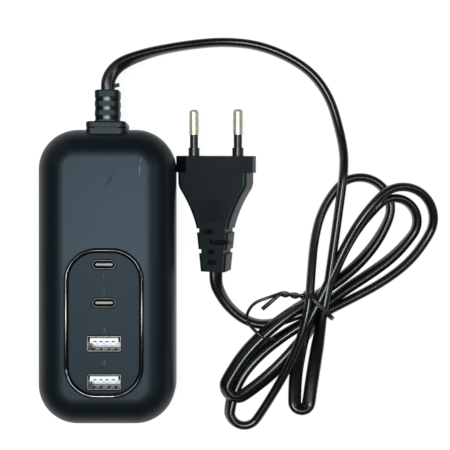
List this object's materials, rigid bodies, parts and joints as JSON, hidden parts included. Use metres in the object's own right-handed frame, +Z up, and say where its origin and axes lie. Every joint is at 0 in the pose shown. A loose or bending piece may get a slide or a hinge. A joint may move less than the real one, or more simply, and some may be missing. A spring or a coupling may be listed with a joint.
{
  "type": "multi port usb desktop charger",
  "caption": "Rounded black desktop charger with oval and rectangular USB sockets in a glossy ring, a flat cord tied in a hank, and a two-pin mains plug.",
  "frame": {"origin": "middle of the casing's footprint, on the surface that its feet stand on", "axes": "+X across the casing towards the plug's side, +Y along the casing towards its cord end, +Z up out of the sockets"},
  "size_m": [0.1637, 0.1656, 0.031],
  "materials": {
    "casing_plastic": "moulded, fine texture",
    "panel_plastic": "moulded, fine texture",
    "ring_plastic": "polished",
    "foot_rubber": "matt",
    "socket_steel": "tinned sheet",
    "tongue_white": "moulded",
    "tongue_pale": "moulded",
    "contact_gold": "gold flash",
    "contact_tin": "tinned bronze",
    "cord_vinyl": "extruded, satin",
    "moulded_vinyl": "moulded, satin",
    "pin_nickel": "nickel plated",
    "sleeve_plastic": "moulded",
    "tie_vinyl": "extruded",
    "board_laminate": "solder mask",
    "screw_steel": "zinc plated",
    "header_plastic": "moulded",
    "chip_resin": "moulded",
    "can_sleeve": "shrunk sleeve",
    "ferrite": "sintered",
    "winding_tape": "tape",
    "winding_copper": "enamelled wire",
    "disc_ceramic": "dipped",
    "fuse_case": "moulded",
    "sink_aluminium": "stamped",
    "core_insulation": "extruded"
  },
  "bodies": {
    "root": {"upper_shell": "casing_plastic", "lower_shell": "casing_plastic", "port_panel": "panel_plastic", "trim_ring": "ring_plastic", "feet": "foot_rubber", "usb_a_shell_1": "socket_steel", "usb_a_shell_2": "socket_steel", "usb_c_shell_1": "socket_steel", "usb_c_shell_2": "socket_steel", "usb_a_tongue_1": "tongue_white", "usb_a_tongue_2": "tongue_white", "usb_c_tongue_1": "tongue_pale", "usb_c_tongue_2": "tongue_pale", "usb_a_contacts_1": "contact_gold", "usb_a_contacts_2": "contact_gold", "usb_c_contacts_1": "contact_tin", "usb_c_contacts_2": "contact_tin", "cord_lead": "cord_vinyl", "cord_hank": "cord_vinyl", "cord_tail": "cord_vinyl", "strain_relief": "moulded_vinyl", "plug_body": "moulded_vinyl", "plug_pins": "pin_nickel", "pin_sleeves": "sleeve_plastic", "twist_tie": "tie_vinyl", "main_board": "board_laminate", "port_board": "board_laminate", "board_screws": "screw_steel", "board_header": "header_plastic", "transformer_bobbin": "header_plastic", "controller_chips": "chip_resin", "optocoupler": "chip_resin", "power_transistor": "chip_resin", "bridge_rectifier": "chip_resin", "power_inductor_1": "chip_resin", "power_inductor_2": "chip_resin", "bulk_capacitor_1": "can_sleeve", "bulk_capacitor_2": "can_sleeve", "output_capacitor_1": "can_sleeve", "output_capacitor_2": "can_sleeve", "output_capacitor_3": "can_sleeve", "transformer_core": "ferrite", "choke_core": "ferrite", "transformer_winding": "winding_tape", "film_capacitor": "winding_tape", "choke_winding": "winding_copper", "disc_capacitor": "disc_ceramic", "fuse": "fuse_case", "heat_sink": "sink_aluminium", "inlet_leads": "core_insulation"}
  },
  "joints": []
}
